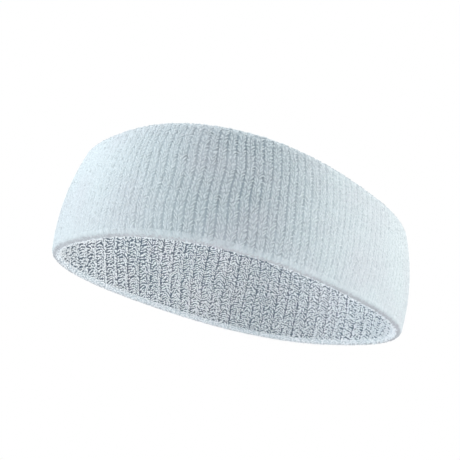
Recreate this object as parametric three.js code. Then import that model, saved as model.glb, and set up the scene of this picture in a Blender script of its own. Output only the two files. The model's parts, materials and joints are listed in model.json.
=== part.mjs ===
// A terry sports headband: a knitted tube folded back on itself, so that the wall is two plies of
// terry with elastic yarn laid between them. The folds are the two soft rims, and one linked seam
// inside the upper rim closes the tube. The ring stands on its lower rim, +Z up, at the size it
// takes on an adult's head. All sizes are in millimetres.
import * as THREE from "three";

// ---- Driving dimensions ----
const OVAL_LENGTH = 184.6; // front to back, at the middle of the wall, along X
const OVAL_WIDTH = 150.2; // side to side, at the middle of the wall, along Y
const OVAL_SQUARENESS = 2.43; // exponent of the oval: 2 is an ellipse, more is squarer
const OVAL_NARROWING = 0.044; // how much narrower the oval gets towards +X, as a share of its width
const BAND_HEIGHT = 55; // rim to rim
const RIM_HEIGHT = 3; // height of each turned rim, up to where the ribbed faces begin
const BULGE = 3.1; // how far the wall swells outwards at half height
const LEAN = 1.85; // how far the wall leans inwards at the upper rim, and outwards at the lower one
const PILE_THICKNESS = 0.85; // terry loops of one ply
const GROUND_THICKNESS = 0.5; // knitted ground that holds the loops of one ply
const ELASTIC_DIAMETER = 0.5; // covered rubber yarn
const ELASTIC_PITCH = 12; // height that one elastic yarn climbs in a turn
const SEAM_DIAMETER = 0.8; // linking thread, as it lies in its groove
const STANDING_LAND = 1.2; // width of the flat that the soft lower rim presses to
const PLY_GAP = 0.3; // free space between neighbouring layers

// ---- Fineness of the faceted solids ----
const RING_SEGMENTS = 56; // facets round the oval
const WALL_STEPS = 5; // facets up the wall
const RIM_ARC_STEPS = 4; // facets of each quarter of a rim's round edge
const YARN_SIDES = 5;
const SEAM_SIDES = 6;

// ---- Sizes that follow ----
const HALF_HEIGHT = BAND_HEIGHT / 2;
// Each layer's distance from the middle of the wall, from the elastic yarn outwards.
const GROUND_BACK = ELASTIC_DIAMETER / 2 + PLY_GAP;
const GROUND_FACE = GROUND_BACK + GROUND_THICKNESS;
const PILE_BACK = GROUND_FACE + PLY_GAP;
const PILE_FACE = PILE_BACK + PILE_THICKNESS;
// The layers stop short of the rims, and the inner pile stops below the groove for the seam.
const WALL_BOTTOM = RIM_HEIGHT + PLY_GAP;
const WALL_TOP = BAND_HEIGHT - RIM_HEIGHT - PLY_GAP;
const SEAM_HEIGHT = WALL_TOP - SEAM_DIAMETER / 2;
const SEAM_CENTRE = -(PILE_BACK + SEAM_DIAMETER / 2);
const INNER_PILE_TOP = SEAM_HEIGHT - SEAM_DIAMETER / 2 - PLY_GAP;

const TERRY_WHITE = 0xdfeaf1;
const GROUND_GREY = 0xc9d3dc;
const RUBBER_WHITE = 0xeeeeea;

function dullMaterial(color, roughness) {
  return new THREE.MeshStandardMaterial({ color, roughness, metalness: 0 });
}

const terryMaterial = dullMaterial(TERRY_WHITE, 0.95);
const groundMaterial = dullMaterial(GROUND_GREY, 0.9);
const elasticMaterial = dullMaterial(RUBBER_WHITE, 0.7);

// The middle of the wall seen from above: a point of the oval at an angle, and the way out of it.
function ovalAt(angle) {
  const n = OVAL_SQUARENESS;
  const c = Math.cos(angle);
  const s = Math.sin(angle);
  const halfLength = OVAL_LENGTH / 2;
  const halfWidth = OVAL_WIDTH / 2;
  const reach = (Math.abs(c / halfLength) ** n + Math.abs(s / halfWidth) ** n) ** (-1 / n);
  const along = (reach * c) / halfLength;
  const across = (reach * s) / halfWidth;
  const share = 1 - OVAL_NARROWING * along;
  // The slopes of the oval's equation along X and Y point straight out of it.
  const slopeAlong = Math.sign(along) * Math.abs(along) ** (n - 1);
  const slopeOfNarrowing = (OVAL_NARROWING * Math.abs(across) ** n) / share;
  const slopeAcross = Math.sign(across) * Math.abs(across) ** (n - 1);
  const outward = new THREE.Vector2(
    (slopeAlong + slopeOfNarrowing) / halfLength,
    slopeAcross / (halfWidth * share),
  );
  return { x: along * halfLength, y: across * halfWidth * share, outward: outward.normalize() };
}

// How far the wall stands outside the oval at a height.
function wallOffset(z) {
  const rise = z / HALF_HEIGHT - 1;
  return BULGE * (1 - rise * rise) - LEAN * rise;
}

// A point of the band: an angle round it, a distance out from the middle of the wall, and a height.
function bandPoint(angle, out, z) {
  const { x, y, outward } = ovalAt(angle);
  const distance = out + wallOffset(z);
  return new THREE.Vector3(x + outward.x * distance, y + outward.y * distance, z);
}

// A closed ring of one section, given as points (out, z). It is turned on a lathe about a nominal
// circle, and each of its vertices is then moved to its place on the oval.
function ringOf(section) {
  const nominalRadius = OVAL_LENGTH;
  const profile = [...section, section[0]].map(([out, z]) => new THREE.Vector2(nominalRadius + out, z));
  const geometry = new THREE.LatheGeometry(profile, RING_SEGMENTS);
  const position = geometry.getAttribute("position");
  const vertex = new THREE.Vector3();
  for (let i = 0; i < position.count; i += 1) {
    vertex.fromBufferAttribute(position, i);
    const angle = Math.atan2(vertex.x, vertex.z);
    const out = Math.hypot(vertex.x, vertex.z) - nominalRadius;
    position.setXYZ(i, ...bandPoint(angle, out, vertex.y));
  }
  geometry.computeVertexNormals();
  return geometry;
}

// Section of a layer that runs up the wall between two distances, from its foot to a top height.
function wallSection(near, far, top) {
  const step = (top - WALL_BOTTOM) / WALL_STEPS;
  const heights = Array.from({ length: WALL_STEPS + 1 }, (_, i) => WALL_BOTTOM + step * i);
  return [...heights.map((z) => [far, z]), ...heights.reverse().map((z) => [near, z])];
}

// Points of a quarter round from one angle to the next, about a centre (out, z).
function quarterRound(centre, radius, from) {
  return Array.from({ length: RIM_ARC_STEPS + 1 }, (_, i) => {
    const angle = from + (Math.PI / 2) * (i / RIM_ARC_STEPS);
    return [centre[0] + radius * Math.cos(angle), centre[1] + radius * Math.sin(angle)];
  });
}

// Section of the lower rim: a U with a flat foot, whose legs stand under the two plies.
function rimSection() {
  const radius = PILE_FACE - STANDING_LAND / 2;
  const footInside = [-STANDING_LAND / 2, radius];
  const footOutside = [STANDING_LAND / 2, radius];
  const channelBottom = PILE_FACE - GROUND_BACK;
  return [
    [-PILE_FACE, RIM_HEIGHT],
    ...quarterRound(footInside, radius, Math.PI),
    ...quarterRound(footOutside, radius, (3 * Math.PI) / 2),
    [PILE_FACE, RIM_HEIGHT],
    [GROUND_BACK, RIM_HEIGHT],
    [GROUND_BACK, channelBottom],
    [-GROUND_BACK, channelBottom],
    [-GROUND_BACK, RIM_HEIGHT],
  ];
}

// The same section turned over for the upper rim, in the order that keeps its faces outwards.
function upperRimSection() {
  return rimSection()
    .map(([out, z]) => [out, BAND_HEIGHT - z])
    .reverse();
}

// The line of an elastic yarn: it climbs evenly, half its climb on each side of half height.
class SpiralLine extends THREE.Curve {
  constructor(startAngle, turns) {
    super();
    this.startAngle = startAngle;
    this.turns = turns;
  }

  getPoint(t, target = new THREE.Vector3()) {
    const angle = this.startAngle + 2 * Math.PI * this.turns * t;
    const height = HALF_HEIGHT + ELASTIC_PITCH * this.turns * (t - 0.5);
    return target.copy(bandPoint(angle, 0, height));
  }

  // Steps along the line are equal angles, so that the yarn's facets match those of the plies.
  getUtoTmapping(u) {
    return u;
  }
}

// One elastic yarn, laid in as a spiral with as many whole turns as fit between the two rims.
function elasticYarn(startAngle) {
  const room = WALL_TOP - WALL_BOTTOM - ELASTIC_DIAMETER;
  const turns = Math.floor(room / ELASTIC_PITCH);
  const section = new THREE.Shape(
    Array.from({ length: YARN_SIDES }, (_, i) => {
      const angle = (2 * Math.PI * i) / YARN_SIDES;
      const radius = ELASTIC_DIAMETER / 2;
      return new THREE.Vector2(radius * Math.cos(angle), radius * Math.sin(angle));
    }),
  );
  return new THREE.ExtrudeGeometry(section, {
    steps: turns * RING_SEGMENTS,
    extrudePath: new SpiralLine(startAngle, turns),
    bevelEnabled: false,
  });
}

// Section of the linking thread, a round that lies in the groove above the inner pile.
function seamSection() {
  const radius = SEAM_DIAMETER / 2;
  return Array.from({ length: SEAM_SIDES }, (_, i) => {
    const angle = (2 * Math.PI * i) / SEAM_SIDES;
    return [SEAM_CENTRE + radius * Math.cos(angle), SEAM_HEIGHT + radius * Math.sin(angle)];
  });
}

function piece(name, material, geometry) {
  const mesh = new THREE.Mesh(geometry, material);
  mesh.name = name;
  return mesh;
}

const outerPile = wallSection(PILE_BACK, PILE_FACE, WALL_TOP);
const outerGround = wallSection(GROUND_BACK, GROUND_FACE, WALL_TOP);
const innerGround = wallSection(-GROUND_FACE, -GROUND_BACK, WALL_TOP);
const innerPile = wallSection(-PILE_FACE, -PILE_BACK, INNER_PILE_TOP);

const headband = new THREE.Group();
headband.add(
  piece("outer_terry_pile", terryMaterial, ringOf(outerPile)),
  piece("outer_ground_knit", groundMaterial, ringOf(outerGround)),
  piece("inner_ground_knit", groundMaterial, ringOf(innerGround)),
  piece("inner_terry_pile", terryMaterial, ringOf(innerPile)),
  piece("lower_turned_rim", terryMaterial, ringOf(rimSection())),
  piece("upper_turned_rim", terryMaterial, ringOf(upperRimSection())),
  piece("outer_elastic_yarn", elasticMaterial, elasticYarn(0)),
  piece("inner_elastic_yarn", elasticMaterial, elasticYarn(Math.PI)),
  piece("linking_seam_thread", groundMaterial, ringOf(seamSection())),
);

export default headband;
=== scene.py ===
# %% [markdown]
# # A terry sports headband
# The band is one tube of knitted terry, folded double, so it is a ring with two plies, a soft
# rolled rim at each edge, and loops of cotton on both faces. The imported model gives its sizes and
# places. This lesson keeps that frame and makes the cloth: first the ribbed plies, then the loops,
# which are modelled once and sewn on in their thousands, then the parts that lie hidden inside.

import json
import math

import bpy
import numpy as np
from mathutils import Matrix, Vector

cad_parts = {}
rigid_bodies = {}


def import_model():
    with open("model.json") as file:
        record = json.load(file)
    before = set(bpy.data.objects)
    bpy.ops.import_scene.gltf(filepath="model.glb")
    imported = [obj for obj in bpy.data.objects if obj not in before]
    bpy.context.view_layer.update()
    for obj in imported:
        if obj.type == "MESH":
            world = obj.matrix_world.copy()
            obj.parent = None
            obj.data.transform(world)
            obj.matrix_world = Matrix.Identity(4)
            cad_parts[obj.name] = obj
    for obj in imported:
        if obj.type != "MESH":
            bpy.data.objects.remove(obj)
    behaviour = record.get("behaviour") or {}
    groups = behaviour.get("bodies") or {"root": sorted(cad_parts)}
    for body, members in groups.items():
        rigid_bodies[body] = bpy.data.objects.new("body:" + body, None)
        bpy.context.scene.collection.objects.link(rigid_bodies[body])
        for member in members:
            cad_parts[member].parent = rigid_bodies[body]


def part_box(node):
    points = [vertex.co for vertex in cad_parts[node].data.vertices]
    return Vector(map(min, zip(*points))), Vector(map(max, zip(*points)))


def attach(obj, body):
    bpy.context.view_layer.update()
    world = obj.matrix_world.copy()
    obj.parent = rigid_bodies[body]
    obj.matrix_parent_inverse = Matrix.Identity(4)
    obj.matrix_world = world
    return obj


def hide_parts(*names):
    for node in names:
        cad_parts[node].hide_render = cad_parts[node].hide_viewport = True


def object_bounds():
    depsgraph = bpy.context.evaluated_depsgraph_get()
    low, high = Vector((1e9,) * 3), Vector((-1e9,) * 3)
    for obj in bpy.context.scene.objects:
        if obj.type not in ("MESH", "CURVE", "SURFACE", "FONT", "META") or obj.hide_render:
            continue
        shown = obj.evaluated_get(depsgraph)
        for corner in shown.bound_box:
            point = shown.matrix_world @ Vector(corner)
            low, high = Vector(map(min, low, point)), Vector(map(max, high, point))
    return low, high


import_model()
cad_low, cad_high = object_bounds()
print("CAD box in mm:", [round(1000 * side, 1) for side in cad_high - cad_low])

# %% [markdown]
# ## Sizes
# Everything is in metres. The oval, the swell and the lean of the wall are the design's own
# values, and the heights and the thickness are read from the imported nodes, so the cloth follows
# the model. A headband of this size has some 138 wales, which are the upright rows of
# stitches, and when it is stretched on a head its courses lie about 1.9 mm apart.

# %% Sizes of the band and of its knit
MM = 0.001
OVAL_LENGTH = 184.6 * MM
OVAL_WIDTH = 150.2 * MM
OVAL_SQUARENESS = 2.43
OVAL_NARROWING = 0.044
BULGE = 3.1 * MM
LEAN = 1.85 * MM
WALES = 138
COURSE = 1.9 * MM

BAND_HEIGHT = cad_high.z - cad_low.z
HALF_HEIGHT = BAND_HEIGHT / 2
WALL_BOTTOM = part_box("outer_terry_pile")[0].z
WALL_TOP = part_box("outer_terry_pile")[1].z
INNER_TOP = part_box("inner_terry_pile")[1].z
RIM_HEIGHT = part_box("lower_turned_rim")[1].z
SEAM_HEIGHT = (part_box("linking_seam_thread")[0].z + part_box("linking_seam_thread")[1].z) / 2
WALL_FACE = cad_high.x - OVAL_LENGTH / 2 - BULGE - LEAN * LEAN / (4 * BULGE)
print("wall from", round(WALL_BOTTOM / MM, 1), "to", round(WALL_TOP / MM, 1), "mm")
print("half the wall's thickness is", round(WALL_FACE / MM, 2), "mm")

# %% [markdown]
# ## Walking round the band
# Knitting is even along the cloth, not in angle, so every place on the band is given by its share
# of the way round, its distance out from the middle of the wall, and its height. A table of the
# oval, spaced evenly along its length, turns those into a point. The three directions at that
# point, along the band, out of it and up it, let the yarn be laid on the cloth.

# %% The oval as a table, and points on the band
OVAL_STEPS = 4096


def oval_table():
    """The oval's length, its points, their outward directions, and how shares go with turns."""
    turn = np.linspace(0, 2 * math.pi, 8 * OVAL_STEPS + 1)
    c, s = np.cos(turn), np.sin(turn)
    along = np.sign(c) * np.abs(c) ** (2 / OVAL_SQUARENESS)
    across = np.sign(s) * np.abs(s) ** (2 / OVAL_SQUARENESS)
    x = OVAL_LENGTH / 2 * along
    y = OVAL_WIDTH / 2 * across * (1 - OVAL_NARROWING * along)
    run = np.concatenate([[0], np.cumsum(np.hypot(np.diff(x), np.diff(y)))])
    even = np.linspace(0, run[-1], OVAL_STEPS, endpoint=False)
    x, y = np.interp(even, run, x), np.interp(even, run, y)
    dx = np.roll(x, -2) - np.roll(x, 2)
    dy = np.roll(y, -2) - np.roll(y, 2)
    length = np.hypot(dx, dy)
    return run[-1], x, y, dy / length, -dx / length, (turn / (2 * math.pi), run / run[-1])


ROUND, OVAL_X, OVAL_Y, OUT_X, OUT_Y, SHARE_OF_TURN = oval_table()
SHARE = np.arange(OVAL_STEPS) / OVAL_STEPS
print("the middle of the wall is", round(ROUND / MM), "mm round")


def around(u, values):
    return np.interp(np.mod(u, 1), SHARE, values, period=1)


def at_place(u, table):
    """A value at a place round the band, from a short table of (share round, value)."""
    return np.interp(np.mod(u, 1), [place for place, _ in table], [value for _, value in table], period=1)


def wall_offset(z):
    rise = z / HALF_HEIGHT - 1
    return BULGE * (1 - rise * rise) - LEAN * rise


def on_band(u, out, z):
    distance = out + wall_offset(z)
    x = around(u, OVAL_X) + around(u, OUT_X) * distance
    y = around(u, OVAL_Y) + around(u, OUT_Y) * distance
    return np.stack([x, y, z + 0 * x], axis=-1)


def directions(u, z):
    """Unit vectors along the band, up the wall and out of it, at each place."""
    out = np.stack([around(u, OUT_X), around(u, OUT_Y), 0 * u], axis=-1)
    along = np.stack([-out[..., 1], out[..., 0], 0 * u], axis=-1)
    slope = -2 * BULGE * (z / HALF_HEIGHT - 1) / HALF_HEIGHT - LEAN / HALF_HEIGHT
    up = out * slope[..., None] + np.array([0, 0, 1.0])
    up /= np.linalg.norm(up, axis=-1, keepdims=True)
    return along, up, np.cross(along, up)


# %% [markdown]
# ## How the wales run
# On a stretched band the wales don't stand quite straight. They lean a few degrees, more in one
# place than in another, and they waver as the courses pull on them. One function gives how far a
# wale has strayed along the band at each height, and the ribs and the loops both use it, so
# they stay together. The few angles are how askew the cloth lies at places round the band.

# %% Skew and waver of the wales
SEED = 11
OUTER_SKEW = [
    (0.0, 1), (0.3, -2), (0.5, -1), (0.6, -1), (0.64, -3),
    (0.67, -4), (0.7, -3), (0.72, -1), (0.75, 3), (0.8, 5), (0.9, 3),
]
INNER_SKEW = [
    (0.0, -1), (0.08, -1), (0.13, 1), (0.17, 3), (0.22, 11),
    (0.28, 14), (0.34, 19), (0.42, 15), (0.6, 2), (0.9, -2),
]
WAVER = 0.4 * MM


def waver_of(seed):
    """Ripples that close round the band, as (turns round, turns up, phase, size): short ones are small."""
    rng = np.random.default_rng(seed)
    turns = [3, 5, 7, 9, 13, 17, 23, 31, 43]
    return [(n, rng.uniform(-2.5, 2.5), rng.uniform(0, 2 * math.pi), 3.5 / (3 + n)) for n in turns]


def strayed(u, z, skew, waver):
    """A wale's place round the band at a height, as a share of the way round."""
    angle = at_place(u, [(place, math.radians(lean)) for place, lean in skew])
    shift = np.tan(angle) * (z - HALF_HEIGHT)
    for turns, climb, phase, size in waver:
        shift = shift + WAVER * size * np.sin(2 * math.pi * (turns * u + climb * z / BAND_HEIGHT) + phase)
    return u - shift / ROUND


# This ripple crowds the inner ply's wales at a tenth of the way round, and spreads them at a third.
CROWDING = (2, 0, math.pi - 1.0, 12.0)
OUTER_WAVER = waver_of(SEED)
INNER_WAVER = waver_of(SEED + 1) + [CROWDING]
print("the outer wales lean from", min(lean for _, lean in OUTER_SKEW), "to",
      max(lean for _, lean in OUTER_SKEW), "degrees")

# %% [markdown]
# ## Camera, light and floor
# The band is seen from below its left side, held in the air, so the floor lies well under it and
# the camera stands between the two. The background is white. The light is that of a light tent:
# it comes evenly from all round, with large soft lamps at both sides, above, and low in front.
# The lamps at the sides are the strongest, so the middle of the band is darker than its ends.

# %% Camera
CAMERA_AZIMUTH = math.radians(-40.56)
CAMERA_ELEVATION = math.radians(-16.83)
CAMERA_ROLL = math.radians(11.34)
CAMERA_DISTANCE = 0.3687
CAMERA_LENS = 52.64
CAMERA_SHIFT = (-0.0286, 0.0500)
MIDDLE = Vector((0, 0, HALF_HEIGHT))


def view_axes(azimuth, elevation):
    """Unit vectors to the right, upwards and back towards the eye, for a level view."""
    back = Vector((
        math.sin(azimuth) * math.cos(elevation),
        -math.cos(azimuth) * math.cos(elevation),
        math.sin(elevation),
    ))
    right = Vector((math.cos(azimuth), math.sin(azimuth), 0))
    return right, back.cross(right), back


def make_camera():
    right, up, back = view_axes(CAMERA_AZIMUTH, CAMERA_ELEVATION)
    bpy.ops.object.camera_add(location=MIDDLE + CAMERA_DISTANCE * back)
    camera = bpy.context.object
    c, s = math.cos(CAMERA_ROLL), math.sin(CAMERA_ROLL)
    camera.rotation_euler = Matrix((c * right + s * up, c * up - s * right, back)).transposed().to_euler()
    camera.data.lens = CAMERA_LENS
    camera.data.shift_x, camera.data.shift_y = CAMERA_SHIFT
    camera.data.clip_start = 0.01
    return camera


bpy.context.scene.camera = make_camera()
print("the camera looks up at", round(-math.degrees(CAMERA_ELEVATION), 1), "degrees")

# %% [markdown]
# ## Colours and nodes
# Colours are written as sRGB hex codes, as in any paint program, and one function turns them to
# the linear values that the renderer needs. Every material is built with one small function,
# which adds a node and sets or links its inputs in a single line.

# %% Colours, the function that adds a node, and the white surroundings
TENT_STRENGTH = 0.72
TENT_COLOUR = "#eff8fb"


def srgb(code):
    """A colour from its sRGB hex code, turned to linear."""
    parts = [int(code[i : i + 2], 16) / 255 for i in (1, 3, 5)]
    return (*(p / 12.92 if p <= 0.04045 else ((p + 0.055) / 1.055) ** 2.4 for p in parts), 1)


def node(tree, kind, settings=None, **inputs):
    """Adds a node, sets its settings, and sets or links each of its inputs."""
    made = tree.nodes.new(kind)
    for name, value in (settings or {}).items():
        setattr(made, name, value)
    for name, value in inputs.items():
        socket = made.inputs[int(name[1:]) if name[0] == "_" else name.replace("_", " ")]
        if isinstance(value, bpy.types.NodeSocket):
            tree.links.new(value, socket)
        else:
            socket.default_value = value
    return made


def make_world():
    """White to the eye. As light, it is a little weaker and cooler, and the same all round."""
    world = bpy.data.worlds.new("light_tent")
    world.use_nodes = True
    tree = world.node_tree
    tree.nodes.clear()
    lit = node(tree, "ShaderNodeBackground", Color=srgb(TENT_COLOUR), Strength=TENT_STRENGTH)
    seen = node(tree, "ShaderNodeBackground", Color=srgb("#ffffff"), Strength=1.0)
    ray = node(tree, "ShaderNodeLightPath").outputs["Is Camera Ray"]
    mixed = node(tree, "ShaderNodeMixShader", _0=ray, _1=lit.outputs[0], _2=seen.outputs[0])
    node(tree, "ShaderNodeOutputWorld", Surface=mixed.outputs[0])
    bpy.context.scene.world = world


make_world()
bpy.context.scene.view_settings.view_transform = "Standard"
print("the tent's light has strength", TENT_STRENGTH)

# %% Lamps and floor
LAMP_DISTANCE = 0.9
FLOOR_SIZE = 8
FLOOR_HEIGHT = -1


def soft_light(name, azimuth, elevation, size, power, colour):
    """A square area light that faces the middle of the band."""
    _, _, back = view_axes(math.radians(azimuth), math.radians(elevation))
    bpy.ops.object.light_add(type="AREA", location=MIDDLE + LAMP_DISTANCE * back)
    light = bpy.context.object
    light.name = name
    light.rotation_euler = back.to_track_quat("Z", "Y").to_euler()
    light.data.size = size
    light.data.energy = power
    light.data.color = srgb(colour)[:3]
    print(name, "gives", power, "W")


soft_light("left_light", -128, 30, 0.6, 6.8, "#f0f9ff")
soft_light("right_light", 48, 30, 0.6, 6.2, "#fffdf8")
soft_light("top_light", -40, 50, 0.4, 2.4, "#f9fdff")
soft_light("low_light", -42, -50, 0.5, 3.9, "#fbfdff")


def make_floor():
    bpy.ops.mesh.primitive_plane_add(size=FLOOR_SIZE, location=(0, 0, FLOOR_HEIGHT))
    floor = bpy.context.object
    floor.name = "studio_floor"
    material = bpy.data.materials.new("pale_floor_paint")
    material.use_nodes = True
    shader = material.node_tree.nodes["Principled BSDF"]
    shader.inputs["Base Color"].default_value = srgb("#e4e7e9")
    shader.inputs["Roughness"].default_value = 0.9
    floor.data.materials.append(material)


make_floor()

# %% [markdown]
# ## Meshes
# A ply of the band is a closed ring of cloth. It starts as a flat grid, as the cloth does on the
# machine: one way is the length of the cloth and the other goes once round its section. Each
# vertex is then moved to its place on the band, and the grid's edges are welded where they meet.
# Each ring also keeps how high its pile stands at every vertex, for its material to read.

# %% Helpers: a clean start for each operator, and a ring of cloth from a grid
def deselect_all():
    bpy.ops.object.select_all(action="DESELECT")


def coordinates(mesh):
    flat = np.empty(3 * len(mesh.vertices))
    mesh.vertices.foreach_get("co", flat)
    return flat.reshape(-1, 3)


def keep(mesh, name, values):
    """Stores one number for each vertex, for the material to read."""
    mesh.attributes.new(name, "FLOAT", "POINT").data.foreach_set("value", values)


def ring_of_cloth(name, columns, rows, place):
    """A closed ring: place(u, v) gives points and pile heights at shares round the band and section."""
    deselect_all()
    bpy.ops.mesh.primitive_grid_add(x_subdivisions=columns, y_subdivisions=rows, size=1)
    ring = bpy.context.object
    ring.name = name
    flat = coordinates(ring.data)
    points, heights = place(flat[:, 0] + 0.5, flat[:, 1] + 0.5)
    ring.data.vertices.foreach_set("co", points.ravel())
    keep(ring.data, "pile_height", heights)
    keep(ring.data, "tint", np.full(len(heights), 0.5))
    bpy.ops.object.mode_set(mode="EDIT")
    bpy.ops.mesh.select_all(action="SELECT")
    bpy.ops.mesh.remove_doubles(threshold=0.002 * MM)
    bpy.ops.mesh.fill_holes(sides=0)
    bpy.ops.mesh.normals_make_consistent(inside=False)
    bpy.ops.object.mode_set(mode="OBJECT")
    bpy.ops.object.shade_smooth_by_angle(angle=math.radians(60))
    print(name, "has", len(ring.data.polygons), "faces")
    return ring


def bundle(name, shape, origins, axes, tints, depths):
    """One mesh of many copies of a small shape, each with its place, axes, tint and foot's depth."""
    points = coordinates(shape.data)
    faces = [tuple(face.vertices) for face in shape.data.polygons]
    copies = len(origins)
    placed = origins[:, None, :] + np.einsum("pk,nkj->npj", points, axes)
    offsets = (np.arange(copies) * len(points))[:, None]
    blocks = [(np.array(face)[None, :] + offsets).tolist() for face in faces]
    mesh = bpy.data.meshes.new(name)
    mesh.from_pydata(placed.reshape(-1, 3), [], [face for block in blocks for face in block])
    height = np.tile(points[:, 2] / points[:, 2].max(), copies)
    keep(mesh, "pile_height", 1 - (1 - height) * np.repeat(depths, len(points)))
    keep(mesh, "tint", np.repeat(tints, len(points)))
    mesh.polygons.foreach_set("use_smooth", np.ones(len(mesh.polygons), dtype=bool))
    made = bpy.data.objects.new(name, mesh)
    bpy.context.collection.objects.link(made)
    print(name, "has", copies, "copies and", len(mesh.polygons), "faces")
    return made


# %% [markdown]
# ## The ribbed plies
# Each wale of the outer ply is a low rib, split in two by a shallower groove, and the grooves
# between the ribs are what the eye follows. On the inner ply two wales make one broad column.
# Where the pile is brushed full, at the ends of the oval, the grooves nearly close. A bump in
# the material would leave the edge of the band smooth, so the grooves are real: each pile layer
# is a ring of cloth with its own thickness, and its vertices sink where a groove runs.

# %% Ribbed pile layers
OPENNESS = [
    (0.0, 0.4), (0.25, 0.6), (0.42, 0.1), (0.48, 0.06), (0.51, 0.15), (0.54, 0.32),
    (0.58, 0.58), (0.61, 0.78), (0.64, 0.88), (0.67, 0.68), (0.7, 0.45), (0.72, 0.34), (0.76, 0.22),
    (0.85, 0.08),
]


def openness(u):
    """How far the grooves between the ribs lie open, from 0 to 1, at a place round the band."""
    return at_place(u, OPENNESS)


def groove(place):
    """From 0 on a crown to 1 in a groove, where place counts ribs and each rib is split in two."""
    main = 0.5 - 0.5 * np.cos(2 * math.pi * place)
    split = 0.5 + 0.5 * np.cos(4 * math.pi * place)
    return split * (0.35 + 0.65 * main)


def rib(u, z, count, skew, waver):
    return 1 - groove(count * strayed(u, z, skew, waver))


def flat_section(v, face, back, bottom, top):
    """Goes round a ply's section: up its face for most of v, over, down its back, and home again."""
    corners = [0, 0.8, 0.825, 0.975, 1]
    out = np.interp(v, corners, [face, face, back, back, face])
    z = np.interp(v, corners, [bottom, top, top, bottom, bottom])
    return out, z, np.interp(v, corners, [1, 1, 0, 0, 1])


def ply(name, sign, face, back, bottom, top, ribs, relief, skew, waver, columns, rows):
    def place(u, v):
        out, z, on_face = flat_section(v, face, back, bottom, top)
        crown = rib(u, z, ribs, skew, waver)
        sunk = relief * (1 - crown) * (0.1 + 0.9 * openness(u)) * on_face
        return on_band(u, out - sign * sunk, z), 1 - (0.4 + 0.6 * (1 - crown)) * openness(u)

    return ring_of_cloth(name, columns, rows, place)


PILE_BACK = 1.35 * MM
RIB_RELIEF = 0.5 * MM
COLUMN_RELIEF = 0.35 * MM
OUTER_SINK = 0.25 * MM
INNER_SINK = 0.5 * MM
outer_pile = ply(
    "outer_terry_cloth", 1, WALL_FACE - OUTER_SINK, PILE_BACK, RIM_HEIGHT, BAND_HEIGHT - RIM_HEIGHT,
    WALES, RIB_RELIEF, OUTER_SKEW, OUTER_WAVER, 8 * WALES, 40,
)
inner_pile = ply(
    "inner_terry_cloth", -1, -WALL_FACE + INNER_SINK, -PILE_BACK, RIM_HEIGHT, INNER_TOP,
    WALES // 2, COLUMN_RELIEF, INNER_SKEW, INNER_WAVER, 4 * WALES, 40,
)


# %% [markdown]
# ## The rims
# Where the tube turns, the cloth makes a soft round welt, 4.4 mm thick. It could be a bent tube,
# but the tube is open on the side where the two plies go in. So its section is a U that hugs
# the edges of the plies, and the outer ply's ribs run on over it.

# %% Turned rims
RIM_SKIN = 1.65 * MM


def rim_section(v, flipped):
    """Goes round the U: down its outer leg, round the fold, up its inner leg, and back inside."""
    radius = WALL_FACE - OUTER_SINK
    inside = WALL_FACE - RIM_SKIN
    steps = 14
    outline = [(radius, RIM_HEIGHT)]
    outline += [
        (radius * math.cos(a), WALL_FACE - radius * math.sin(a))
        for a in (math.pi * i / steps for i in range(steps + 1))
    ]
    outline += [(-radius, RIM_HEIGHT), (-inside, RIM_HEIGHT), (-inside, RIM_SKIN)]
    outline += [(inside, RIM_SKIN), (inside, RIM_HEIGHT), (radius, RIM_HEIGHT)]
    outline = np.array(outline)
    share = np.linspace(0, 1, len(outline))
    out, z = np.interp(v, share, outline[:, 0]), np.interp(v, share, outline[:, 1])
    return out, (BAND_HEIGHT - z if flipped else z)


def rim(name, flipped):
    def place(u, v):
        out, z = rim_section(v, flipped)
        crown = rib(u, z, WALES, OUTER_SKEW, OUTER_WAVER)
        on_outer_leg = np.clip(out / WALL_FACE - 0.4, 0, 0.5) / 0.5
        sunk = RIB_RELIEF * (1 - crown) * (0.1 + 0.9 * openness(u)) * on_outer_leg
        height = 1 - (1 - crown) * openness(u) * on_outer_leg
        return on_band(u, out - sunk, z), np.where(out < -0.2 * WALL_FACE, 0.6, height)

    return ring_of_cloth(name, 4 * WALES, 22, place)


lower_rim = rim("lower_rim_cloth", False)
upper_rim = rim("upper_rim_cloth", True)

# %% [markdown]
# ## Two shapes of yarn
# A terry loop is an arch of soft cotton yarn that stands on the ground and leans over. It is a
# ring cut in half. Where the pile lies flat, the yarn shows as short plump strands, so a strand
# is a ball drawn out and bent. Hair particles could give fuzz, but not the plump yarn that terry
# shows. Each shape is modelled once, with few faces, and sewn on in its thousands.

# %% The loop and the strand, modelled once
def terry_loop():
    deselect_all()
    bpy.ops.mesh.primitive_torus_add(
        major_segments=8, minor_segments=3, major_radius=1, minor_radius=0.42, rotation=(math.pi / 2, 0, 0)
    )
    loop = bpy.context.object
    loop.name = "one_terry_loop"
    bpy.ops.object.transform_apply(location=False, rotation=True, scale=False)
    bpy.ops.object.mode_set(mode="EDIT")
    bpy.ops.mesh.select_all(action="SELECT")
    bpy.ops.mesh.bisect(plane_co=(0, 0, -0.01), plane_no=(0, 0, 1), use_fill=True, clear_inner=True)
    bpy.ops.mesh.select_all(action="SELECT")
    bpy.ops.mesh.normals_make_consistent(inside=False)
    bpy.ops.object.mode_set(mode="OBJECT")
    print("one loop has", len(loop.data.polygons), "faces")
    return loop


def yarn_strand():
    """Half of a knit stitch: a short plump strand whose two ends dip into the cloth."""
    deselect_all()
    bpy.ops.mesh.primitive_uv_sphere_add(segments=5, ring_count=4, radius=1, rotation=(math.pi / 2, 0, 0))
    strand = bpy.context.object
    strand.name = "one_yarn_strand"
    bpy.ops.object.transform_apply(location=False, rotation=True, scale=False)
    for vertex in strand.data.vertices:
        vertex.co.z += 1 - 0.9 * vertex.co.y**2
    print("one strand has", len(strand.data.polygons), "faces")
    return strand


LOOP = terry_loop()
STRAND = yarn_strand()

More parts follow.
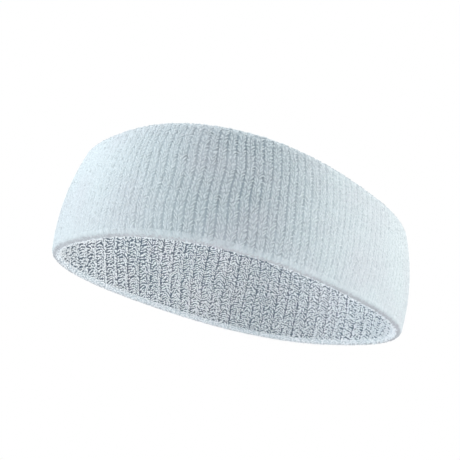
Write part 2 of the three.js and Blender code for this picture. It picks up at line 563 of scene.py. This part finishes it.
# %% [markdown]
# ## Sewing them on
# A copy needs a place on the cloth, a direction, a lean and a size. These are worked out for all
# the copies at once, as tables of numbers, because thousands of copies made one by one with
# operators would take many minutes. The copies go into a few large meshes, each its own piece.

# %% Laying copies on the cloth
def strayed_back(u, z, skew, waver):
    """The place that strays to u: where wale u has got to at a height."""
    guess = u
    for _ in range(4):
        guess = guess - (strayed(guess, z, skew, waver) - u)
    return guess


def unit(vectors):
    return vectors / np.linalg.norm(vectors, axis=-1, keepdims=True)


def stand(along, up, out, twist, lean_u, lean_z, sizes):
    """Axes of copies that are twisted on the cloth, lean along and up it, and have these sizes."""
    c, s = np.cos(twist)[:, None], np.sin(twist)[:, None]
    height = unit(out + lean_u[:, None] * along + lean_z[:, None] * up)
    length = c * up - s * along
    length = unit(length - (length * height).sum(axis=-1, keepdims=True) * height)
    width = np.cross(length, height)
    return np.stack([width * sizes[:, :1], length * sizes[:, 1:2], height * sizes[:, 2:]], axis=1)


PIECE_COPIES = 6000


def sew(name, shape, origins, axes, tints, depths):
    """Bundles copies, in as many pieces as keep each piece from getting too many faces."""
    parts = math.ceil(len(origins) / PIECE_COPIES)
    edges = np.linspace(0, len(origins), parts + 1).astype(int)
    return [
        bundle(f"{name}_{i + 1}", shape, origins[a:b], axes[a:b], tints[a:b], depths[a:b])
        for i, (a, b) in enumerate(zip(edges[:-1], edges[1:]))
    ]


def every(*counts):
    """All combinations of wale, strand and course numbers, as flat lists."""
    return [grid.ravel() for grid in np.meshgrid(*(np.arange(count) for count in counts), indexing="ij")]


def random_sizes(rng, count, *ranges):
    return np.stack([rng.uniform(low, high, count) * MM for low, high in ranges], axis=1)


# %% [markdown]
# ## Round the rims
# The outer loops run on round the rims, so their places are counted along the cloth's own path:
# up the wall, and then round the half circle of each fold.

# %% Where the section goes round the rims
FOLD_LENGTH = math.pi * WALL_FACE


def round_section(u, path, sign):
    """Points and directions on the outer (1) or inner (-1) face, path metres above its lower fold.

    Below zero the path goes round the lower rim, and above the wall's top it goes round the upper.
    """
    low = WALL_FACE
    high = BAND_HEIGHT - WALL_FACE
    past = np.where(path < low, low - path, np.where(path > high, high - path, 0))
    angle = past / WALL_FACE
    z = np.clip(path, low, high) - WALL_FACE * np.sin(angle)
    out = WALL_FACE * np.cos(angle) * sign
    along, up, outward = directions(u, z)
    c, s = np.cos(angle)[:, None], np.sin(angle)[:, None]
    normal = sign * c * outward - s * up
    return on_band(u, out, z), along, unit(c * up + sign * s * outward), normal


# %% [markdown]
# ## The outer terry
# Outside, the loops are long and have been brushed up the wall, so they lie as slender strands
# that climb both halves of each rib. Where the pile is full they stand close and hide the grooves.
# In the middle it is more open, some strands have sunk, and the yarn's foot shows, painted darker
# as shade. Loose loops stand among the strands and give the face its nap.

# %% Outer terry
PILE_COURSE = 1.65 * MM
PILE_START = 0.07 * FOLD_LENGTH
PILE_COURSES = int((BAND_HEIGHT + 0.15 * FOLD_LENGTH) / PILE_COURSE)
# Where the four strands of a rib lie across it, as shares of the rib's width.
STRAND_PLACES = np.array([-0.125, 0.125, -0.315, 0.315])
STRAND_SIDES = np.array([1, -1, 1, -1])


def outer_strands():
    """Slender strands that climb both halves of a rib: inner ones steeply, outer ones leaning out."""
    rng = np.random.default_rng(SEED + 2)
    wale, strand, course = every(WALES, 4, PILE_COURSES)
    count = len(wale)
    side = STRAND_SIDES[strand]
    leaning = strand // 2
    path = PILE_START + PILE_COURSE * (course + 0.5 * leaning + rng.uniform(-0.35, 0.35, count))
    across = STRAND_PLACES[strand] + rng.normal(0, 0.03, count)
    u = strayed_back((wale + across) / WALES, np.clip(path, 0, BAND_HEIGHT), OUTER_SKEW, OUTER_WAVER)
    open_here = openness(u)
    points, along, up, normal = round_section(u, path, 1)
    fallen = RIB_RELIEF / MM * groove(across) * (0.1 + 0.9 * open_here)
    low_down = np.clip(1.2 - path / (25 * MM), 0.4, 1)
    dropped = 0.45 * open_here * (rng.uniform(0, 1, count) < 0.4 * low_down * open_here)
    uneven = 0.14 * open_here * rng.uniform(-1, 1, count)
    origins = points - normal * (0.42 + fallen + dropped + uneven)[:, None] * MM
    twist = side * (0.2 + 0.3 * leaning) + rng.normal(0, 0.33, count) * (0.4 + 0.6 * open_here)
    sizes = random_sizes(rng, count, (0.27, 0.37), (0.85, 1.25), (0.5, 0.75))
    sizes[:, 2] *= 0.2 + 0.8 * open_here
    axes = stand(along, up, normal, twist, rng.normal(0, 0.15, count), rng.normal(0, 0.12, count), sizes)
    tints = rng.uniform(0, 1, count) * (0.2 + 0.8 * open_here)
    return sew("outer_pile_strands", STRAND, origins, axes, tints, 0.6 * open_here)


def outer_loops():
    """Loose loops that stand among the strands and give the face its nap."""
    rng = np.random.default_rng(SEED + 3)
    wale, course = every(WALES, PILE_COURSES)
    count = len(wale)
    path = PILE_START + PILE_COURSE * (course + rng.uniform(-0.5, 0.5, count))
    across = rng.uniform(-0.5, 0.5, count)
    u = strayed_back((wale + across) / WALES, np.clip(path, 0, BAND_HEIGHT), OUTER_SKEW, OUTER_WAVER)
    points, along, up, normal = round_section(u, path, 1)
    open_here = openness(u)
    fallen = RIB_RELIEF / MM * groove(across) * (0.1 + 0.9 * open_here)
    origins = points - normal * (0.7 - 0.2 * open_here + fallen)[:, None] * MM
    sizes = random_sizes(rng, count, (0.24, 0.36), (0.3, 0.42), (0.35, 0.6))
    sizes[:, 2] *= 0.5 + 0.5 * open_here
    twist = rng.uniform(0, math.pi, count)
    lean_u, lean_z = rng.normal(0, 0.4, count), rng.normal(-0.1, 0.4, count)
    axes = stand(along, up, normal, twist, lean_u, lean_z, sizes)
    tints = rng.uniform(0, 1, count) * (0.2 + 0.8 * open_here)
    return sew("outer_terry_loops", LOOP, origins, axes, tints, open_here * (0.6 + 0.8 * groove(across)))


outer_pile_yarn = outer_strands() + outer_loops()

# %% [markdown]
# ## The inner terry
# Inside, the pile is short and pressed flat by the head. Its strands slant one way on one wale
# and the other way on the next, so two wales make a column of chevrons, with dark gaps between
# the strands. A pattern in the material would look painted from the side, so they are modelled.

# %% Inner terry
STITCH_COURSE = 1.45 * MM
COLUMN_DEPTH = COLUMN_RELIEF / MM
INNER_START = -0.5 * MM
INNER_SLANT = math.radians(50)


def inner_strands():
    """Short plump strands in pairs of wales that slant towards each other."""
    rng = np.random.default_rng(SEED + 4)
    highest = INNER_TOP + 0.4 * MM
    wale, strand, course = every(WALES, 3, int((highest - INNER_START) / STITCH_COURSE))
    count = len(wale)
    side = np.where(wale % 2 == 0, 1, -1)
    path = INNER_START + STITCH_COURSE * (course + rng.uniform(-0.25, 0.25, count) + 0.5 * (strand % 2))
    across = (strand - 1) * 0.3 - 0.04 * side + rng.normal(0, 0.06, count)
    u = strayed_back((wale + across + 0.5) / WALES, np.clip(path, 0, BAND_HEIGHT), INNER_SKEW, INNER_WAVER)
    points, along, up, normal = round_section(u, path, -1)
    fallen = COLUMN_DEPTH * groove((wale + across + 0.5) / 2)
    origins = points - normal * (fallen + rng.uniform(0.3, 0.65, count))[:, None] * MM
    sizes = random_sizes(rng, count, (0.34, 0.46), (0.8, 1.15), (0.5, 0.7))
    twist = side * INNER_SLANT + rng.normal(0, 0.35, count)
    axes = stand(along, up, normal, twist, rng.normal(0, 0.15, count), rng.normal(0, 0.15, count), sizes)
    return sew("inner_pile_strands", STRAND, origins, axes, rng.uniform(0, 1, count), np.ones(count))


inner_pile_yarn = inner_strands()

# %% [markdown]
# ## The rims' fluff
# The cloth is bent sharply at a rim, which opens its loops like a brush. Short loops stand close
# together all over the fold. Their feet are painted darker where the rim lies in shadow: painted shade.

# %% Rim fluff
# How much darker the rim loops' feet are painted at places round the band: painted shade.
RIM_PAINTED_SHADE = [(0.0, 0.7), (0.3, 0.1), (0.52, 0), (0.6, 0.7), (0.66, 1), (0.85, 1)]


def rim_loops(name, flipped):
    """Short loops all over the fold, close together, with feet painted darker as painted shade."""
    rng = np.random.default_rng(SEED + (6 if flipped else 5))
    column, row = every(3 * WALES, 7)
    count = len(column)
    u = (column + rng.uniform(-0.5, 0.5, count)) / (3 * WALES)
    path = WALL_FACE - FOLD_LENGTH * (0.28 + 0.36 * (row + rng.uniform(-0.5, 0.5, count)) / 6)
    path = BAND_HEIGHT - path if flipped else path
    points, along, up, normal = round_section(u, path, 1)
    origins = points - normal * 0.4 * MM
    sizes = random_sizes(rng, count, (0.32, 0.46), (0.38, 0.5), (0.3, 0.6))
    twist = rng.uniform(0, math.pi, count)
    axes = stand(along, up, normal, twist, rng.normal(0, 0.4, count), rng.normal(0, 0.4, count), sizes)
    depths = at_place(u, RIM_PAINTED_SHADE) * (0.4 + 0.1 * row)
    return bundle(name, LOOP, origins, axes, rng.uniform(0, 1, count), depths)


lower_rim_loops = rim_loops("lower_rim_loops", False)
upper_rim_loops = rim_loops("upper_rim_loops", True)

# %% [markdown]
# ## What lies inside
# The loops are knitted into a plain jersey ground, one on each side. The grounds are hidden, so
# they need no yarn of their own: each is a thin ring of cloth with shallow ribs, and its stitches
# are drawn by its material.

# %% Ground knits
GROUND_BACK = 0.55 * MM
GROUND_FACE = 1.05 * MM


def ground(name, node_name, sign, skew, waver):
    low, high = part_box(node_name)
    return ply(
        name, sign, sign * GROUND_FACE, sign * GROUND_BACK, low.z, high.z,
        WALES, 0.15 * MM, skew, waver, 4 * WALES, 40,
    )


outer_ground = ground("outer_ground_jersey", "outer_ground_knit", 1, OUTER_SKEW, OUTER_WAVER)
inner_ground = ground("inner_ground_jersey", "inner_ground_knit", -1, INNER_SKEW, INNER_WAVER)

# %% [markdown]
# ## Covered rubber
# Two covered rubber yarns are laid between the grounds as spirals, which is what makes the band
# hug the head. A spin would make a round spiral, and this one follows the oval, so it is a grid
# rolled into a tube and laid along the band, with an even climb at each step.

# %% Covered rubber yarns
ELASTIC_RADIUS = 0.25 * MM
ELASTIC_PITCH = 12 * MM
ELASTIC_TURNS = 3


def elastic(name, start):
    """A round yarn that climbs as a spiral, half its climb on each side of half height."""
    def place(u, v):
        at = np.interp(np.mod(start + ELASTIC_TURNS * u, 1), *SHARE_OF_TURN)
        z = HALF_HEIGHT + ELASTIC_PITCH * ELASTIC_TURNS * (u - 0.5)
        out, rise = np.cos(2 * math.pi * v), np.sin(2 * math.pi * v)
        return on_band(at, ELASTIC_RADIUS * out, z + ELASTIC_RADIUS * rise), np.full(len(u), 0.7)

    return ring_of_cloth(name, ELASTIC_TURNS * 120, 8, place)


outer_elastic = elastic("outer_covered_rubber", 0)
inner_elastic = elastic("inner_covered_rubber", 0.5)

# %% [markdown]
# ## The seam
# The tube is closed by one linked seam, which lies in a groove at the top of the inner face. The
# linking machine wraps its thread over the edges, so the seam is a thin core with slanting
# stitches laid over it. The stitches are the same strand as in the pile, made thinner.

# %% Linked seam
SEAM_OUT = -1.75 * MM
SEAM_CORE = 0.24 * MM


def seam_core():
    def place(u, v):
        out, rise = np.cos(2 * math.pi * v), np.sin(2 * math.pi * v)
        return on_band(u, SEAM_OUT + SEAM_CORE * out, SEAM_HEIGHT + SEAM_CORE * rise), np.full(len(u), 0.3)

    return ring_of_cloth("linking_seam_core", 4 * WALES, 6, place)


def seam_stitches():
    """Two slanting stitches to a wale, wrapped over the core as the linking machine leaves them."""
    rng = np.random.default_rng(SEED + 7)
    count = 2 * WALES
    u = (np.arange(count) + 0.5) / count
    z = np.full(count, SEAM_HEIGHT)
    along, up, outward = directions(u, z)
    origins = on_band(u, SEAM_OUT + 0 * u, z)
    sizes = random_sizes(rng, count, (0.18, 0.22), (0.5, 0.56), (0.2, 0.24))
    twist = np.full(count, -math.radians(40)) + rng.normal(0, 0.1, count)
    axes = stand(along, up, -outward, twist, 0 * u, 0 * u, sizes)
    return bundle("linking_seam_stitches", STRAND, origins, axes, rng.uniform(0, 1, count), np.ones(count))


seam = seam_core()
seam_loops = seam_stitches()

# %% [markdown]
# ## Clearing up
# The one loop and the one strand have been copied into the pieces, and aren't part of the band.

# %% Clear the two pattern shapes away
for pattern in (LOOP, STRAND):
    bpy.data.objects.remove(pattern)

# %% [markdown]
# ## Cotton
# Terry yarn is soft-spun cotton, bleached and then knitted. It has no shine of its own, so it is
# rough all over, and its short fuzz catches light along its edges, which is the sheen. Yarn at
# the foot of the pile lies in the shade of its neighbours and looks darker, and no two loops are
# quite the same white. The piece's own attributes say how high each bit of yarn stands.

# %% Cotton yarn
PATCH_SIZE = 25 * MM
FIBRE_SPACING = 0.25 * MM


def cotton(name, tip, foot, mauve, sheen):
    material = bpy.data.materials.new(name)
    material.use_nodes = True
    tree = material.node_tree
    shader = tree.nodes["Principled BSDF"]
    place = node(tree, "ShaderNodeTexCoord").outputs["Object"]
    height = node(tree, "ShaderNodeAttribute", {"attribute_name": "pile_height"}).outputs["Fac"]
    tint = node(tree, "ShaderNodeAttribute", {"attribute_name": "tint"}).outputs["Fac"]
    blend = {"data_type": "RGBA"}
    yarn = node(tree, "ShaderNodeMix", blend, _0=height, _6=srgb(foot), _7=srgb(tip)).outputs[2]
    darker = node(tree, "ShaderNodeMapRange", Value=tint, To_Min=0.0, To_Max=0.35).outputs["Result"]
    varied = node(tree, "ShaderNodeMix", blend, _0=darker, _6=yarn, _7=srgb(foot)).outputs[2]
    # Patches of this size are a little warmer than their neighbours.
    patch = node(tree, "ShaderNodeTexNoise", Vector=place, Scale=1 / PATCH_SIZE, Detail=2.0).outputs["Fac"]
    patchy = node(tree, "ShaderNodeMapRange", Value=patch, From_Min=0.4, From_Max=0.7, To_Min=0.0, To_Max=0.4)
    colour = node(tree, "ShaderNodeMix", blend, _0=patchy.outputs[0], _6=varied, _7=srgb(mauve))
    tree.links.new(colour.outputs[2], shader.inputs["Base Color"])
    # Cotton fibres are far finer than this, and are drawn as coarse as they need to be to show.
    fibre = node(tree, "ShaderNodeTexNoise", Vector=place, Scale=1 / FIBRE_SPACING, Detail=1.0).outputs["Fac"]
    bump = node(tree, "ShaderNodeBump", Height=fibre, Strength=0.3, Distance=0.0001).outputs["Normal"]
    tree.links.new(bump, shader.inputs["Normal"])
    shader.inputs["Roughness"].default_value = 0.95
    shader.inputs["Sheen Weight"].default_value = sheen
    shader.inputs["Sheen Roughness"].default_value = 0.5
    shader.inputs["Specular IOR Level"].default_value = 0.2
    print("material", name)
    return material


# Brushed pile outside is cool and pale, painted greyer than the same yarn inside as painted shade.
# The ground under it is painted darker, as the shade it lies in.
outer_cotton = cotton("cotton_terry_outside", "#d8dddf", "#a7b3ba", "#cfced3", 0.1)
under_cotton = cotton("cotton_ground_under_outer_pile", "#d8dddf", "#87949d", "#c1c0c6", 0.0)
# Pressed pile inside has crossing strands painted white, as painted light, over a ground painted
# dark as painted shade, for it gets hardly any light.
inner_cotton = cotton("cotton_terry_inside", "#ffffff", "#c4ccd3", "#f3f0f4", 0.1)
# The lower rim's loops are painted a little warmer and greyer than the outer pile: painted shade.
shaded_rim_cotton = cotton("cotton_terry_rim_painted_shade", "#d6d8db", "#a29ea4", "#c6c1c8", 0.1)
base_cotton = cotton("cotton_ground_under_inner_pile", "#717d89", "#646f7a", "#747178", 0.0)

# %% [markdown]
# ## Jersey, rubber and thread
# The ground is plain jersey: each wale is a column of V-shaped stitches, so its pattern is a wave
# that slants one way on one half of the wale and the other way on the other. It reads the
# cloth's own UV map. The rubber yarn is wrapped in fine thread, which shows as a screw of
# narrow turns, and the seam is smooth three-ply sewing thread.

# %% Knitted and wrapped yarns
def waved(name, light, dark, across, along, slant, depth, rough):
    """A yarn surface with waves: across and along are counts of waves in the piece's UV map."""
    material = bpy.data.materials.new(name)
    material.use_nodes = True
    tree = material.node_tree
    shader = tree.nodes["Principled BSDF"]
    cloth = node(tree, "ShaderNodeSeparateXYZ", Vector=node(tree, "ShaderNodeTexCoord").outputs["UV"]).outputs
    wale = node(tree, "ShaderNodeMath", {"operation": "MULTIPLY"}, _0=cloth["X"], _1=across).outputs[0]
    half = node(tree, "ShaderNodeMath", {"operation": "PINGPONG"}, _0=wale, _1=0.5).outputs[0]
    lean = node(tree, "ShaderNodeMath", {"operation": "MULTIPLY"}, _0=half, _1=slant).outputs[0]
    multiply_add = {"operation": "MULTIPLY_ADD"}
    row = node(tree, "ShaderNodeMath", multiply_add, _0=cloth["Y"], _1=along, _2=lean).outputs[0]
    turn = node(tree, "ShaderNodeMath", {"operation": "MULTIPLY"}, _0=row, _1=2 * math.pi).outputs[0]
    wave = node(tree, "ShaderNodeMath", {"operation": "SINE"}, _0=turn).outputs[0]
    high = node(tree, "ShaderNodeMapRange", Value=wave, From_Min=-1.0, From_Max=1.0).outputs["Result"]
    colour = node(tree, "ShaderNodeMix", {"data_type": "RGBA"}, _0=high, _6=srgb(dark), _7=srgb(light))
    bump = node(tree, "ShaderNodeBump", Height=high, Strength=0.8, Distance=depth).outputs["Normal"]
    tree.links.new(colour.outputs[2], shader.inputs["Base Color"])
    tree.links.new(bump, shader.inputs["Normal"])
    shader.inputs["Roughness"].default_value = rough
    shader.inputs["Specular IOR Level"].default_value = 0.3
    print("material", name)
    return material


# The section's face takes 0.8 of the UV map's height, and has a course every 1.9 mm.
COURSES = (WALL_TOP - WALL_BOTTOM) / 0.8 / COURSE
jersey = waved("cotton_jersey_ground", "#dde2e5", "#9aa5ae", float(WALES), COURSES, 1.2, 0.2 * MM, 0.9)
WRAP_SPACING = 0.5 * MM
wraps = ELASTIC_TURNS * ROUND / WRAP_SPACING
rubber = waved("thread_covered_rubber", "#e9e7df", "#b5b2a6", wraps, 1.0, 2.0, 0.05 * MM, 0.7)
thread = cotton("cotton_linking_thread", "#f0f3f4", "#b7bfc6", "#e6e4ea", 0.1)

outer_pile.data.materials.append(under_cotton)
for piece in (*outer_pile_yarn, lower_rim, upper_rim, upper_rim_loops):
    piece.data.materials.append(outer_cotton)
lower_rim_loops.data.materials.append(shaded_rim_cotton)
inner_pile.data.materials.append(base_cotton)
for piece in inner_pile_yarn:
    piece.data.materials.append(inner_cotton)
for piece in (outer_ground, inner_ground):
    piece.data.materials.append(jersey)
for piece in (outer_elastic, inner_elastic):
    piece.data.materials.append(rubber)
for piece in (seam, seam_loops):
    piece.data.materials.append(thread)

# %% [markdown]
# ## What each piece stands for
# Every piece takes the place of one solid of the imported model, and the table lists the record's
# material slot that its finish belongs to. The band is one body, so everything rides on it.

# %% Riding, slots and the solids replaced
PARTS = [
    ("outer_terry_pile", "outer_terry", [outer_pile, *outer_pile_yarn]),
    ("inner_terry_pile", "inner_terry", [inner_pile, *inner_pile_yarn]),
    ("lower_turned_rim", "rim_terry", [lower_rim, lower_rim_loops]),
    ("upper_turned_rim", "rim_terry", [upper_rim, upper_rim_loops]),
    ("outer_ground_knit", "ground_knit", [outer_ground]),
    ("inner_ground_knit", "ground_knit", [inner_ground]),
    ("outer_elastic_yarn", "covered_rubber", [outer_elastic]),
    ("inner_elastic_yarn", "covered_rubber", [inner_elastic]),
    ("linking_seam_thread", "linking_thread", [seam, seam_loops]),
]
for node_name, slot, pieces in PARTS:
    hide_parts(node_name)
    for piece in pieces:
        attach(piece, "root")
print("pieces:", sum(len(pieces) for _, _, pieces in PARTS))

# %% [markdown]
# ## The cloth's cut
# Laid flat and relaxed, the tube is 0.42 m round, and each ply is some 50 mm wide between the
# rims. On the head it is drawn out by nearly a third. Each rim is a strip 10 mm wide, folded over.

# %% [markdown]
# ## Measuring, and the end
# The scene's triangles are counted. Yarn may stand only a little proud of the model.

# %% Triangles, and the end
triangles = sum(len(p.vertices) - 2 for o in bpy.data.objects if o.type == "MESH" for p in o.data.polygons)
print("the whole scene has", triangles, "triangles")
